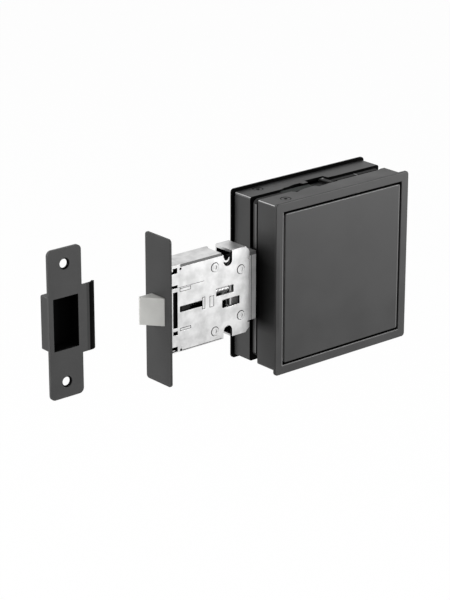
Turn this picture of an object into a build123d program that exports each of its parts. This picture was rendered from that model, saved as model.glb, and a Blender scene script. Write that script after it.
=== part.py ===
from build123d import *
import os
from math import cos, radians, sin

os.makedirs("parts", exist_ok=True)

# Door, origin and general fits. The origin is in the plane of the door's edge, at the
# height of the latch bolt: +X runs into the door, the front pull is on -Y.
door_thickness = 35.0
overrun = 2.0
running_gap = 0.3
pin_gap = 0.05
seat_gap = 0.1

# Faceplate and forend on the door's edge
plate_width = 21.0
plate_height = 82.6
plate_thickness = 1.1
plate_corner = 2.0
plate_proud = 0.5
plate_edge_round = 0.3
forend_width = 13.6
forend_height = 76.0
forend_thickness = 1.8
forend_pad = 0.3
forend_corner = 3.0
forend_screw_margin = 5.0
forend_screw_radius = 1.7

# Latch bolt and the carrier behind it
latch_y = 0.1
latch_width = 11.2
latch_height = 15.4
latch_reach = 8.5
latch_nose_flat = 0.8
latch_edge_round = 0.4
latch_tang_length = 6.0
latch_tang_width = 6.0
latch_tang_height = 8.0
carrier_end_x = 17.0
carrier_front_y = -5.4
carrier_back_y = 5.6
carrier_height = 20.8
carrier_edge_round = 0.5
latch_pin_x = 11.3
latch_pin_radius = 1.3
latch_pin_recess = 0.5
flush_margin = 0.1
latch_travel = latch_reach + flush_margin

# Lock case: a folded tray and a flat cover
case_depth = 14.2
case_end_x = 56.9
case_top = 25.2
case_bottom = -23.8
sheet = 1.2
top_wall = 1.5
case_rear_chamfer = 2.6
neck_start_x = 37.2
neck_end_x = 44.2
saddle_x = 41.7
saddle_notch_radius = 3.0
saddle_notch_z = 20.0
saddle_z = 21.3
saddle_wall = 1.1
saddle_gap = 0.35
cover_step_x = 9.0
rivet_front_x = 32.7
rivet_front_z = 18.15
rivet_rear_x = 50.8
rivet_rear_z = 13.1
rivet_head_radius = 2.35
rivet_head_height = 0.3
rivet_ring_radius = 2.7
rivet_ring_depth = 0.45
rivet_shank_radius = 1.6
rivet_dimple_radius = 1.2
rivet_dimple_depth = 0.35
guide_slot_start_x = 8.6
guide_slot_end_x = 23.9
guide_slot_height = 3.3

# Stem, springs and claw inside the case
stem_y = 1.0
stem_radius = 2.0
stem_start_x = 9.2
stem_head_x = 31.0
stem_head_length = 2.0
stem_head_height = 9.0
stem_head_depth = 3.6
spring_wall_x = 28.0
spring_wall_height = 14.0
spring_wall_front_y = -3.0
spring_wire = 0.8
claw_front_x = 29.6
claw_lip = 1.2
claw_height = 11.0
claw_front_y = -0.4
claw_back_y = 3.2
claw_back_thickness = 1.5
return_spring_radius = 1.9
return_spring_y = -3.8
return_spring_z = 3.6
return_stop_x = 43.9
return_stop_bottom = -6.1
return_stop_back_y = -3.7

# Draw slide, from the claw to the cams between the pulls
slide_front_y = -0.5
slide_back_y = 1.9
slide_height = 10.0
cam_plate_start_share = 0.496
cam_plate_end_share = 0.832
cam_plate_height = 22.0
cam_lane_z = 6.0
cam_lane_height = 4.4
cam_reach_y = 7.4
cam_back_length = 4.5

# Tongue that joins the case to the pulls
tongue_start_x = 45.5
tongue_end_x = 84.0
tongue_top = 19.0
tongue_bottom = -20.0
tongue_front_y = -1.9
tongue_back_y = 3.6
tongue_corner = 2.5

# Pulls
pull_size = 98.2
pull_left_x = 65.3
flange_thickness = 1.6
flange_corner = 2.0
flange_edge_round = 0.5
frame_border = 5.3
frame_edge_round = 0.4
shell_inset_left = 1.9
front_inset_right = 1.6
rear_inset_right = 0.9
shell_inset_z = 1.7
shell_wall = 1.5
shell_back_wall = 1.3
shell_corner = 1.2
front_shell_back_y = -1.95
rear_shell_back_y = 4.4
panel_border = 6.45
panel_thickness = 2.0
panel_corner = 1.2
panel_edge_round = 0.5
panel_swing = 8.0

# Panel hinges
hinge_from_edge = 14.9
front_hinge_depth = 9.4
rear_hinge_depth = 5.9
hinge_pin_radius = 1.9
hinge_head_radius = 2.8
hinge_head_height = 0.6
hinge_head_hole = 0.9
hinge_head_hole_depth = 1.2
hinge_head_recess = 0.7
ear_radius = 3.6
ear_thickness = 2.5
ear_from_top = 5.8
panel_rib_thickness = 1.5
panel_rib_depth = 2.0
panel_rib_share = 0.7
torsion_wire = 0.9
torsion_leg_length = 7.0

# Cam arms on the panels
cam_arm_share = 0.73
cam_arm_thickness = 4.0
cam_arm_width = 4.4
cam_nose_y = -1.6

# Core frame between the shells
core_front_y = -0.57
core_back_y = 2.15
core_from_left = 2.1
core_from_right = 3.5
core_from_top = 0.7
core_from_bottom = 3.8
core_corner = 3.0
core_bar = 18.0
core_rail = 12.5
core_boss_radius = 4.0
guide_start_share = 0.231
guide_end_share = 0.445
guide_notch_depth = 6.0
block_start_share = 0.459
block_end_share = 0.594
block_depth_y = 8.2
block_height = 9.0
rear_block_notch = 4.2
front_block_notch = 1.8
block_lug_height = 1.6
block_lug_length = 4.0
pull_screw_left = 9.6
pull_screw_right = 26.6
pull_screw_from_top = 10.4
pull_screw_radius = 2.0
pull_screw_head_radius = 3.6
pull_screw_head_height = 1.1
pull_boss_radius = 3.3
pull_boss_length = 2.6

# Wavy notches in the shells' top and bottom walls, over the mechanism: shares of the
# pull's size along it and of the deepest notch into it
wall_notch_depth = 4.2
front_notch_shares = (
    (0.262, 0),
    (0.280, 0.55),
    (0.287, 0.62),
    (0.313, 0.39),
    (0.353, 0.16),
    (0.415, 0.05),
    (0.437, 0.12),
    (0.447, 0.64),
    (0.496, 0.52),
    (0.577, 0.28),
    (0.913, 0.25),
    (0.944, 0),
)
rear_notch_shares = (
    (0.246, 0),
    (0.277, 0.31),
    (0.303, 0.29),
    (0.333, 0.47),
    (0.364, 0.62),
    (0.405, 0.6),
    (0.414, 0.12),
    (0.449, 0.1),
    (0.456, 0.92),
    (0.596, 1),
    (0.603, 0.1),
    (0.771, 0),
)
mechanism_window_share = 0.4755
mechanism_window_height = 30.0

# Strike, shown beside the lock
strike_x = -60.45
strike_z = 6.9
strike_width = 21.0
strike_height = 81.2
strike_thickness = 1.5
strike_corner = 2.8
strike_mouth_width = 15.8
strike_mouth_height = 28.5
strike_mouth_shift = 0.2
strike_mouth_rise = 0.1
strike_mouth_corner = 0.4
strike_screw_pitch = 64.2
strike_screw_radius = 2.4
strike_countersink_radius = 3.3
strike_countersink_angle = 90.0
strike_seat_depth = 0.3
strike_lip_height = 36.7
strike_lip_reach = 5.4
strike_lip_radius = 4.8
strike_lip_angle = 55.0
dust_box_width = 18.4
dust_box_height = 29.6
dust_box_depth = 8.8
dust_box_wall = 0.6
dust_box_corner = 0.9
dust_box_rise = 0.2

# Shares of the case's length and height that place the cover's small cut-outs:
# from x, to x, from z, to z
cover_cut_shares = (
    (0.030, 0.084, 0.906, 0.966),
    (-0.01, 0.032, 0.906, 0.934),
    (-0.01, 0.086, 0.738, 0.772),
    (0.030, 0.086, 0.282, 0.694),
    (0.030, 0.086, 0.202, 0.245),
    (-0.01, 0.083, 0.010, 0.068),
    (0.572, 0.794, 0.516, 0.602),
    (0.648, 0.872, 0.360, 0.456),
    (0.978, 1.01, 0.850, 0.866),
    (0.978, 1.01, 0.112, 0.128),
)
cover_dot_shares = ((0.125, 0.948), (0.125, 0.020))
cover_dot_radius = 0.7
cover_bar_shares = (
    (0.114, 0.251, 0.684, 0.726),
    (0.114, 0.251, 0.237, 0.270),
    (0.393, 0.431, 0.414, 0.553),
    (0.488, 0.543, 0.410, 0.539),
)
cover_line_shares = ((0.088, 0.418, 0.734, 0.739), (0.125, 0.640, 0.010, 0.015))
cover_bar_groove = 0.3
cover_bar_depth = 0.35

# Places worked out from the sizes above
half_pull = door_thickness / 2 + flange_thickness
pull_x = pull_left_x + pull_size / 2
plate_back_x = plate_thickness - plate_proud
case_start_x = plate_back_x + forend_thickness
case_half = case_depth / 2
case_length = case_end_x - case_start_x
case_height = case_top - case_bottom
cover_top = case_top - top_wall - seat_gap
hinge_x = pull_left_x + hinge_from_edge
front_hinge_y = front_hinge_depth - half_pull
rear_hinge_y = half_pull - rear_hinge_depth
shell_height = pull_size - 2 * shell_inset_z
shell_top = shell_height / 2
ear_top_z = shell_top - ear_from_top
core_left_x = pull_left_x + core_from_left
core_right_x = pull_left_x + pull_size - core_from_right
core_top = shell_top - core_from_top
core_bottom = core_from_bottom - shell_top
core_middle_y = (core_front_y + core_back_y) / 2
guide_start_x = pull_left_x + pull_size * guide_start_share
guide_end_x = pull_left_x + pull_size * guide_end_share
block_start_x = pull_left_x + pull_size * block_start_share
block_end_x = pull_left_x + pull_size * block_end_share
cam_plate_start_x = pull_left_x + pull_size * cam_plate_start_share
cam_plate_end_x = pull_left_x + pull_size * cam_plate_end_share
cam_arm_x = pull_left_x + pull_size * cam_arm_share
mechanism_window_start_x = pull_left_x + pull_size * mechanism_window_share
slide_middle_y = (slide_front_y + slide_back_y) / 2
slide_thickness = slide_back_y - slide_front_y
panel_size = pull_size - 2 * panel_border
panel_rib_height = panel_size * panel_rib_share
pull_screw_x = pull_left_x + pull_screw_left
pull_screw_pitch_x = pull_size - pull_screw_left - pull_screw_right
pull_screw_pitch_z = shell_height - 2 * pull_screw_from_top
claw_rear_x = stem_head_x + stem_head_length + latch_travel + running_gap
claw_end_x = claw_rear_x + claw_lip
dust_box_z = strike_z + dust_box_rise

# The front cam's rise per millimetre of push, so that the full swing draws the latch flush
swing = radians(panel_swing)
nose_dx = cam_arm_x - hinge_x
nose_dy = cam_nose_y - front_hinge_y
nose_shift_x = nose_dx * (cos(swing) - 1) - nose_dy * sin(swing)
nose_shift_y = nose_dx * sin(swing) + nose_dy * (cos(swing) - 1)
cam_rise = (latch_travel - nose_shift_x) / nose_shift_y
nose_radius = cam_arm_width / 2
cam_offset = (nose_radius + running_gap) * (1 + cam_rise**2) ** 0.5
print("metres of slide per radian of front panel", round(latch_travel / swing / 1000, 6))


def save(piece, name):
    """Label a finished piece and write it under its own name."""
    piece.part.label = name
    export_step(piece.part, f"parts/{name}.step")


def side_plane(side, depth):
    """Plane parallel to the door's face, depth inwards from a pull's outer face."""
    origin = (pull_x, side * (half_pull - depth), 0)
    return Plane(origin=origin, x_dir=(1, 0, 0), z_dir=(0, side, 0))


def shell_places(points):
    """Turn X, Z places into places on a shell's plane."""
    return [(x - pull_x, z) for x, z in points]


rivet_places = [
    (x, z)
    for x, z0 in ((rivet_front_x, rivet_front_z), (rivet_rear_x, rivet_rear_z))
    for z in (z0, -z0)
]

pull_screw_places = [
    (pull_screw_x + i * pull_screw_pitch_x, j * pull_screw_pitch_z / 2)
    for i in (0, 1)
    for j in (-1, 1)
]


# Faceplate: a pressed plate with the latch opening
latch_hole_width = latch_width + 2 * running_gap
latch_hole_height = latch_height + 2 * running_gap
with BuildPart() as faceplate:
    with BuildSketch(Plane.YZ.offset(-plate_proud)):
        RectangleRounded(plate_width, plate_height, plate_corner)
        with Locations((latch_y, 0)):
            Rectangle(latch_hole_width, latch_hole_height, mode=Mode.SUBTRACT)
    extrude(amount=plate_thickness)
    fillet(faceplate.faces().sort_by(Axis.X)[0].outer_wire().edges(), plate_edge_round)
save(faceplate, "faceplate")

# Forend: the plate under it that screws to the door's edge. Its ends are a little
# thicker, and the case sits between them
with BuildPart() as forend:
    forend_screw_pitch = forend_height - 2 * forend_screw_margin
    with BuildSketch(Plane.YZ.offset(plate_back_x)):
        RectangleRounded(forend_width, forend_height, forend_corner)
        with Locations((latch_y, 0)):
            Rectangle(latch_hole_width, latch_hole_height, mode=Mode.SUBTRACT)
        with GridLocations(0, forend_screw_pitch, 1, 2):
            Circle(forend_screw_radius, mode=Mode.SUBTRACT)
    extrude(amount=forend_thickness + forend_pad)
    with BuildSketch(Plane.YZ.offset(case_start_x)):
        with Locations((0, (case_top + case_bottom) / 2)):
            Rectangle(plate_width, case_height + 2 * seat_gap)
    extrude(amount=forend_pad, mode=Mode.SUBTRACT)
save(forend, "forend")

# Latch bolt: bevelled nose with a tang at its back
latch_front_y = latch_y - latch_width / 2
latch_back_y = latch_y + latch_width / 2
latch_tip_x = -plate_proud - latch_reach
with BuildPart() as latch_bolt:
    with BuildSketch(Plane.XY.offset(-latch_height / 2)):
        with BuildLine():
            Polyline(
                (case_start_x, latch_front_y),
                (case_start_x, latch_back_y),
                (latch_tip_x, latch_back_y),
                (latch_tip_x, latch_back_y - latch_nose_flat),
                (-plate_proud, latch_front_y),
                close=True,
            )
        make_face()
    extrude(amount=latch_height)
    fillet(latch_bolt.edges().filter_by(Axis.Z).group_by(Axis.X)[0], latch_edge_round)
    with BuildSketch(Plane.YZ.offset(case_start_x)):
        Rectangle(latch_tang_width, latch_tang_height)
    extrude(amount=latch_tang_length)
save(latch_bolt, "latch_bolt")

# Latch carrier: the block in the case that holds the tang and the stem, too big for the
# plates' openings, with a guide pin in the cover's slot
with BuildPart() as latch_carrier:
    carrier_start_x = case_start_x + seat_gap
    carrier_length = carrier_end_x - carrier_start_x
    with BuildSketch(Plane.YZ.offset(carrier_start_x)):
        with Locations(((carrier_front_y + carrier_back_y) / 2, 0)):
            Rectangle(carrier_back_y - carrier_front_y, carrier_height)
    extrude(amount=carrier_length)
    fillet(latch_carrier.edges().filter_by(Axis.X), carrier_edge_round)
    with BuildSketch(Plane.XZ.offset(-carrier_front_y)):
        with Locations((latch_pin_x, 0)):
            Circle(latch_pin_radius)
    extrude(amount=case_half + carrier_front_y - latch_pin_recess)
    with BuildSketch(Plane.YZ.offset(carrier_start_x)):
        Rectangle(latch_tang_width + 2 * seat_gap, latch_tang_height + 2 * seat_gap)
    extrude(amount=latch_tang_length, mode=Mode.SUBTRACT)
    with BuildSketch(Plane.YZ.offset(carrier_end_x)):
        with Locations((stem_y, 0)):
            Circle(stem_radius + pin_gap)
    extrude(amount=stem_start_x - carrier_end_x - seat_gap, mode=Mode.SUBTRACT)
save(latch_carrier, "latch_carrier")

# Latch stem: a rod with a cross head that the claw draws back
with BuildPart() as latch_stem:
    with BuildSketch(Plane.YZ.offset(stem_start_x)):
        with Locations((stem_y, 0)):
            Circle(stem_radius)
    extrude(amount=stem_head_x - stem_start_x)
    with BuildSketch(Plane.YZ.offset(stem_head_x)):
        with Locations((stem_y, 0)):
            Rectangle(stem_head_depth, stem_head_height)
    extrude(amount=stem_head_length)
save(latch_stem, "latch_stem")

# Latch spring round the stem, drawn as the sleeve that its coils fill
latch_spring_inner = stem_radius + running_gap
with BuildPart() as latch_spring:
    with BuildSketch(Plane.YZ.offset(carrier_end_x + seat_gap)):
        with Locations((stem_y, 0)):
            Circle(latch_spring_inner + spring_wire)
            Circle(latch_spring_inner, mode=Mode.SUBTRACT)
    extrude(amount=spring_wall_x - carrier_end_x - 2 * seat_gap)
save(latch_spring, "latch_spring")


def case_outline(top, bottom):
    """Side outline of the case, with its rear corners cut off."""
    with BuildSketch() as outline:
        with BuildLine():
            Polyline(
                (case_start_x, bottom),
                (case_start_x, top),
                (case_end_x - case_rear_chamfer, top),
                (case_end_x, top - case_rear_chamfer),
                (case_end_x, bottom + case_rear_chamfer),
                (case_end_x - case_rear_chamfer, bottom),
                close=True,
            )
        make_face()
    return outline.sketch


def saddle_notches(mode):
    """Round-ended notches, from the top and bottom edges, that the fixing screws pass."""
    with Locations((saddle_x, saddle_notch_z), (saddle_x, -saddle_notch_z)):
        Circle(saddle_notch_radius, mode=mode)
    for z in (saddle_notch_z, -saddle_notch_z):
        edge = case_top + overrun if z > 0 else case_bottom - overrun
        with Locations((saddle_x, (z + edge) / 2)):
            Rectangle(2 * saddle_notch_radius, abs(edge - z), mode=mode)


# Case body: back plate with the top and bottom walls folded forward
with BuildPart() as case_body:
    with BuildSketch(Plane.XZ.offset(-case_half)):
        add(case_outline(case_top, case_bottom))
        saddle_notches(Mode.SUBTRACT)
        with Locations(rivet_places):
            Circle(rivet_shank_radius + pin_gap, mode=Mode.SUBTRACT)
    extrude(amount=sheet)
    front_wall_length = neck_start_x - case_start_x
    rear_wall_length = case_end_x - case_rear_chamfer - neck_end_x
    wall_middles = (case_start_x + front_wall_length / 2, neck_end_x + rear_wall_length / 2)
    wall_lengths = (front_wall_length, rear_wall_length)
    front_gaps = (0, sheet + seat_gap)
    for middle, length, front_gap in zip(wall_middles, wall_lengths, front_gaps):
        with BuildSketch(Plane.XZ.offset(-case_half + sheet)):
            with Locations((middle, case_top - top_wall / 2)):
                Rectangle(length, top_wall)
        extrude(amount=case_depth - sheet - front_gap)
        with BuildSketch(Plane.XZ.offset(-case_half + sheet)):
            with Locations((middle, case_bottom + sheet / 2)):
                Rectangle(length, sheet)
        extrude(amount=case_depth - 2 * sheet)
    with BuildSketch(Plane.XZ.offset(case_half)):
        with Locations((cover_step_x, case_top)):
            Rectangle(2 * (cover_step_x - case_start_x), 2 * top_wall, align=(Align.MAX, Align.CENTER))
    extrude(amount=-sheet - seat_gap, mode=Mode.SUBTRACT)
    with BuildSketch(Plane.YZ.offset(spring_wall_x)):
        with Locations(((spring_wall_front_y + case_half - sheet) / 2, 0)):
            Rectangle(case_half - sheet - spring_wall_front_y, spring_wall_height)
        with Locations((stem_y, 0)):
            Circle(stem_radius + running_gap, mode=Mode.SUBTRACT)
    extrude(amount=sheet)
save(case_body, "case_body")

# Case cover: flat plate with its guide slot, windows, notches and pressed bars
slot_length = guide_slot_end_x - guide_slot_start_x
with BuildPart() as case_cover:
    with BuildSketch(Plane.XZ.offset(case_half)):
        add(case_outline(case_top, case_bottom))
        with Locations(((cover_step_x + saddle_x) / 2, (cover_top + case_top) / 2)):
            Rectangle(saddle_x - cover_step_x, case_top - cover_top, mode=Mode.SUBTRACT)
        saddle_notches(Mode.SUBTRACT)
        with Locations(rivet_places):
            Circle(rivet_shank_radius + pin_gap, mode=Mode.SUBTRACT)
        with Locations(((guide_slot_start_x + guide_slot_end_x) / 2, 0)):
            Rectangle(slot_length, guide_slot_height, mode=Mode.SUBTRACT)
        for x0, x1, z0, z1 in cover_cut_shares:
            place_x = case_start_x + case_length * (x0 + x1) / 2
            place_z = case_bottom + case_height * (z0 + z1) / 2
            with Locations((place_x, place_z)):
                Rectangle(case_length * (x1 - x0), case_height * (z1 - z0), mode=Mode.SUBTRACT)
        for x, z in cover_dot_shares:
            with Locations((case_start_x + case_length * x, case_bottom + case_height * z)):
                Circle(cover_dot_radius, mode=Mode.SUBTRACT)
    extrude(amount=-sheet)
    for x0, x1, z0, z1 in cover_bar_shares:
        bar_x = case_start_x + case_length * (x0 + x1) / 2
        bar_z = case_bottom + case_height * (z0 + z1) / 2
        bar_length = case_length * (x1 - x0)
        bar_height = case_height * (z1 - z0)
        with BuildSketch(Plane.XZ.offset(case_half)):
            with Locations((bar_x, bar_z)):
                Rectangle(bar_length, bar_height)
                Rectangle(
                    bar_length - 2 * cover_bar_groove,
                    bar_height - 2 * cover_bar_groove,
                    mode=Mode.SUBTRACT,
                )
        extrude(amount=-cover_bar_depth, mode=Mode.SUBTRACT)
    with BuildSketch(Plane.XZ.offset(case_half)):
        for x0, x1, z0, z1 in cover_line_shares:
            line_x = case_start_x + case_length * (x0 + x1) / 2
            with Locations((line_x, case_bottom + case_height * (z0 + z1) / 2)):
                Rectangle(case_length * (x1 - x0), case_height * (z1 - z0))
        with Locations(rivet_places):
            Circle(rivet_ring_radius)
            Circle(rivet_head_radius, mode=Mode.SUBTRACT)
    extrude(amount=-rivet_ring_depth, mode=Mode.SUBTRACT)
    stop_top = return_spring_z + return_spring_radius
    stop_middle_z = (stop_top + return_stop_bottom) / 2
    with BuildSketch(Plane.XZ.offset(case_half - sheet)):
        with Locations((return_stop_x + sheet / 2, stop_middle_z)):
            Rectangle(sheet, stop_top - return_stop_bottom)
    extrude(amount=sheet - case_half - return_stop_back_y)
save(case_cover, "case_cover")

# Case rivets: four headed rivets through the case
with BuildPart() as case_rivets:
    with BuildSketch(Plane.XZ.offset(case_half)):
        with Locations(rivet_places):
            Circle(rivet_shank_radius)
    extrude(amount=-case_depth)
    with BuildSketch(Plane.XZ.offset(case_half)):
        with Locations(rivet_places):
            Circle(rivet_head_radius)
    extrude(amount=rivet_head_height)
    with BuildSketch(Plane.XZ.offset(-case_half)):
        with Locations(rivet_places):
            Circle(rivet_head_radius)
    extrude(amount=-rivet_head_height)
    with BuildSketch(Plane.XZ.offset(case_half + rivet_head_height)):
        with Locations(rivet_places):
            Circle(rivet_dimple_radius)
    extrude(amount=-rivet_dimple_depth, mode=Mode.SUBTRACT)
save(case_rivets, "case_rivets")

# Screw saddle: a round-bottomed trough that lines the upper notch
with BuildPart() as screw_saddle:
    saddle_outer = saddle_notch_radius - saddle_gap
    saddle_inner = saddle_outer - saddle_wall
    with BuildSketch(Plane.XZ.offset(case_half - sheet - seat_gap)):
        with Locations((saddle_x, saddle_z)):
            Circle(saddle_outer)
            Circle(saddle_inner, mode=Mode.SUBTRACT)
            with Locations((0, saddle_outer)):
                Rectangle(2 * saddle_outer, 2 * saddle_outer, mode=Mode.SUBTRACT)
    extrude(amount=2 * (sheet + seat_gap) - case_depth)
save(screw_saddle, "screw_saddle")

# Claw: a bracket round the stem's cross head, on the front end of the slide
with BuildPart() as draw_claw:
    with BuildSketch(Plane.XZ.offset(-claw_back_y)):
        with Locations(((claw_front_x + claw_end_x) / 2, 0)):
            Rectangle(claw_end_x - claw_front_x, claw_height)
    extrude(amount=-claw_back_thickness)
    for lip_x in (claw_front_x, claw_rear_x):
        with BuildSketch(Plane.YZ.offset(lip_x)):
            with Locations(((claw_front_y + claw_back_y) / 2, 0)):
                Rectangle(claw_back_y - claw_front_y, claw_height)
        extrude(amount=claw_lip)
    ear_front_y = return_spring_y - return_spring_radius
    with BuildSketch(Plane.YZ.offset(claw_front_x)):
        with Locations(((ear_front_y + claw_back_y) / 2, return_spring_z)):
            Rectangle(claw_back_y - ear_front_y, 2 * return_spring_radius)
    extrude(amount=claw_lip)
    with BuildSketch(Plane.YZ.offset(claw_front_x - overrun)):
        with Locations((stem_y, 0)):
            Circle(stem_radius + running_gap)
        with Locations((stem_y + claw_front_y - claw_back_y, 0)):
            Rectangle(2 * (claw_back_y - claw_front_y), 2 * (stem_radius + running_gap))
    extrude(amount=claw_lip + 2 * overrun, mode=Mode.SUBTRACT)
save(draw_claw, "draw_claw")

# Return spring of the slide, seen through the cover's upper window
with BuildPart() as slide_spring:
    with BuildSketch(Plane.YZ.offset(claw_front_x + claw_lip + seat_gap)):
        with Locations((return_spring_y, return_spring_z)):
            Circle(return_spring_radius)
            Circle(return_spring_radius - spring_wire, mode=Mode.SUBTRACT)
    extrude(amount=return_stop_x - claw_front_x - claw_lip - 2 * seat_gap)
save(slide_spring, "slide_spring")


def cam_block(side):
    """Cam outline in plan: a ramp that an arm's nose pushes, thick behind it."""
    near_x = cam_arm_x + cam_offset
    far_x = near_x - cam_rise * (cam_reach_y - cam_nose_y)
    with BuildSketch() as block:
        with BuildLine():
            Polyline(
                (near_x, cam_nose_y),
                (far_x, cam_reach_y),
                (far_x + cam_back_length, cam_reach_y),
                (near_x + cam_back_length, cam_nose_y),
                close=True,
            )
        make_face()
    outline = block.sketch
    if side > 0:
        outline = outline.mirror(Plane.XZ).moved(Location((0, 2 * slide_middle_y, 0)))
    return outline


# Draw slide: a long strip with two cams, worked by the arms of the two panels
with BuildPart() as draw_slide:
    with BuildSketch(Plane.XZ.offset(-slide_front_y)):
        with Locations(((claw_end_x + cam_plate_end_x) / 2, 0)):
            Rectangle(cam_plate_end_x - claw_end_x, slide_height)
        with Locations(((cam_plate_start_x + cam_plate_end_x) / 2, 0)):
            Rectangle(cam_plate_end_x - cam_plate_start_x, cam_plate_height)
        lane_start_x = cam_arm_x - cam_rise * nose_shift_y - cam_arm_width
        lane_length = cam_arm_x + cam_offset - lane_start_x
        with Locations((lane_start_x + lane_length / 2, cam_lane_z)):
            Rectangle(lane_length, cam_lane_height + 2 * running_gap, mode=Mode.SUBTRACT)
        with Locations((lane_start_x + lane_length / 2, -cam_lane_z)):
            Rectangle(lane_length, cam_lane_height + 2 * running_gap, mode=Mode.SUBTRACT)
    extrude(amount=-slide_thickness)
    for side in (-1, 1):
        lane_z = -side * cam_lane_z
        with BuildSketch(Plane.XY.offset(lane_z - cam_lane_height / 2 - running_gap)):
            add(cam_block(side))
        extrude(amount=cam_lane_height + 2 * running_gap)
save(draw_slide, "draw_slide")

# Tongue: a channel riveted in the case, which reaches between the pulls
with BuildPart() as tongue:
    tongue_height = tongue_top - tongue_bottom
    tongue_middle_z = (tongue_top + tongue_bottom) / 2
    with BuildSketch(Plane.XZ.offset(-tongue_front_y)):
        with Locations(((tongue_start_x + tongue_end_x) / 2, tongue_middle_z)):
            Rectangle(tongue_end_x - tongue_start_x, tongue_height)
        with Locations((rivet_rear_x, rivet_rear_z), (rivet_rear_x, -rivet_rear_z)):
            Circle(rivet_shank_radius + pin_gap, mode=Mode.SUBTRACT)
    extrude(amount=tongue_front_y - tongue_back_y)
    fillet(tongue.edges().filter_by(Axis.Y).group_by(Axis.X)[-1], tongue_corner)
    with BuildSketch(Plane.XZ.offset(-tongue_front_y - sheet)):
        with Locations(((tongue_start_x + tongue_end_x) / 2, tongue_middle_z)):
            Rectangle(tongue_end_x - tongue_start_x + 2 * overrun, tongue_height - 2 * sheet)
    extrude(amount=tongue_front_y - tongue_back_y, mode=Mode.SUBTRACT)
save(tongue, "tongue")


def make_shell(side, hinge_y, back_y, inset_right, notch_shares, block_notch, boss_length):
    """One pull shell: flange frame, open box, pin holes, notches and screw bosses."""
    depth = door_thickness / 2 - side * back_y
    back_depth = flange_thickness + depth
    open_size = pull_size - 2 * frame_border
    width = pull_size - shell_inset_left - inset_right
    shift = (shell_inset_left - inset_right) / 2
    outermost = -1 if side > 0 else 0
    with BuildPart() as shell:
        with BuildSketch(side_plane(side, flange_thickness)):
            with Locations((shift, 0)):
                RectangleRounded(width, shell_height, shell_corner)
        extrude(amount=-depth)
        with BuildSketch(side_plane(side, 0)):
            RectangleRounded(pull_size, pull_size, flange_corner)
        extrude(amount=-flange_thickness)
        fillet(shell.faces().sort_by(Axis.Y)[outermost].edges(), flange_edge_round)
        with BuildSketch(side_plane(side, 0)):
            Rectangle(open_size, open_size)
        extrude(amount=-flange_thickness, mode=Mode.SUBTRACT)
        outer_face = shell.faces().sort_by(Axis.Y)[outermost]
        fillet(outer_face.inner_wires()[0].edges(), frame_edge_round)
        with BuildSketch(side_plane(side, flange_thickness)):
            with Locations((shift, 0)):
                Rectangle(width - 2 * shell_wall, shell_height - 2 * shell_wall)
        extrude(amount=shell_back_wall - depth, mode=Mode.SUBTRACT)
        window_length = core_right_x - core_corner - mechanism_window_start_x
        window_x = mechanism_window_start_x + window_length / 2
        with BuildSketch(side_plane(side, back_depth)):
            with Locations((window_x - pull_x, 0)):
                Rectangle(window_length, mechanism_window_height)
        extrude(amount=shell_back_wall, mode=Mode.SUBTRACT)
        if boss_length:
            with BuildSketch(side_plane(side, back_depth - shell_back_wall)):
                with Locations(shell_places(pull_screw_places)):
                    Circle(pull_boss_radius)
            extrude(amount=boss_length)
        with BuildSketch(side_plane(side, back_depth)):
            with Locations(shell_places(pull_screw_places)):
                Circle(pull_screw_radius + pin_gap)
        extrude(amount=shell_back_wall + boss_length, mode=Mode.SUBTRACT)
        with BuildSketch(Plane.XY.offset(-shell_top)):
            with Locations((hinge_x, hinge_y)):
                Circle(hinge_pin_radius + pin_gap)
        extrude(amount=2 * shell_top, mode=Mode.SUBTRACT)
        for sign in (1, -1):
            with BuildSketch(Plane.XY.offset(sign * shell_top)):
                with Locations((hinge_x, hinge_y)):
                    Circle(hinge_head_radius + seat_gap)
            extrude(amount=-sign * hinge_head_recess, mode=Mode.SUBTRACT)
            with BuildSketch(Plane.XY.offset(sign * shell_top)):
                with BuildLine():
                    Polyline(
                        *(
                            (pull_left_x + pull_size * x, back_y + side * wall_notch_depth * share)
                            for x, share in notch_shares
                        )
                    )
                    first_x = pull_left_x + pull_size * notch_shares[0][0]
                    last_x = pull_left_x + pull_size * notch_shares[-1][0]
                    Polyline(
                        (last_x, back_y),
                        (last_x, back_y - side * overrun),
                        (first_x, back_y - side * overrun),
                        (first_x, back_y),
                    )
                make_face()
            extrude(amount=-sign * shell_wall, mode=Mode.SUBTRACT)
        with BuildSketch(Plane.XY.offset(core_top - block_height - running_gap)):
            with Locations(((block_start_x + block_end_x) / 2, back_y)):
                Rectangle(block_end_x - block_start_x + 2 * running_gap, 2 * block_notch)
        extrude(amount=shell_top - core_top + block_height + running_gap, mode=Mode.SUBTRACT)
    return shell


front_shell = make_shell(
    -1,
    front_hinge_y,
    front_shell_back_y,
    front_inset_right,
    front_notch_shares,
    front_block_notch,
    0,
)
save(front_shell, "front_shell")
rear_shell = make_shell(
    1,
    rear_hinge_y,
    rear_shell_back_y,
    rear_inset_right,
    rear_notch_shares,
    rear_block_notch,
    pull_boss_length,
)
save(rear_shell, "rear_shell")


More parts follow.
